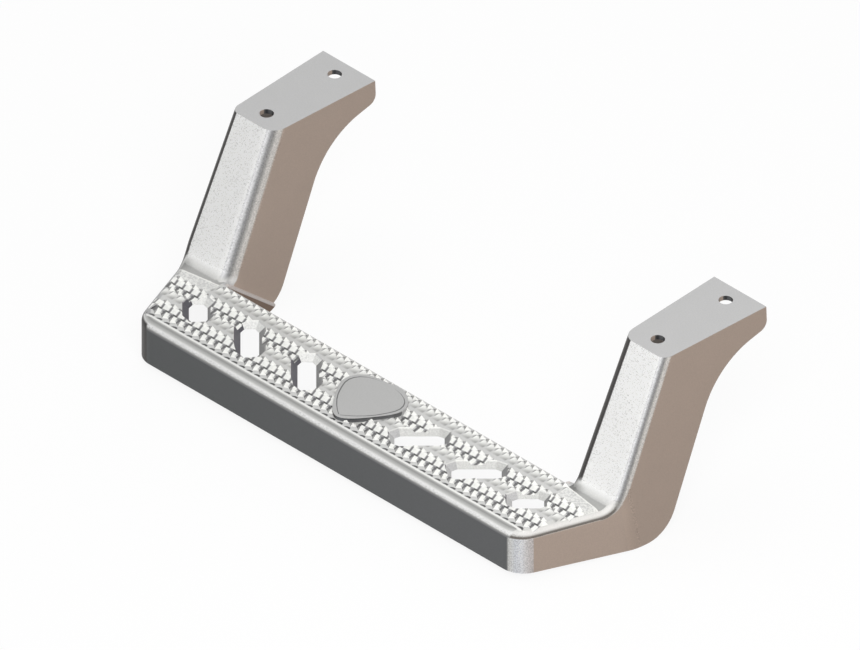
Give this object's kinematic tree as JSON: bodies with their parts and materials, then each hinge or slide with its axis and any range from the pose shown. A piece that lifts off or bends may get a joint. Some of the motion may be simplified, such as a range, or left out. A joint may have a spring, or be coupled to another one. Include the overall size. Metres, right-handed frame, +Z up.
{
  "type": "underbody access step",
  "caption": "Hollow cast aluminium step that hangs under a vehicle by two leaning legs, with a toothed tread, angled drain openings and drilled mounting pads.",
  "frame": {"origin": "centre of the four mounting holes, on the upper face of the two pads", "axes": "+X along the step to the right seen from the front, +Y back under the vehicle, +Z up"},
  "size_m": [0.4724, 0.2311, 0.1535],
  "materials": {
    "cast_aluminium": "as cast, satin with a fine grain"
  },
  "bodies": {
    "root": {"step_casting": "cast_aluminium"}
  },
  "joints": []
}
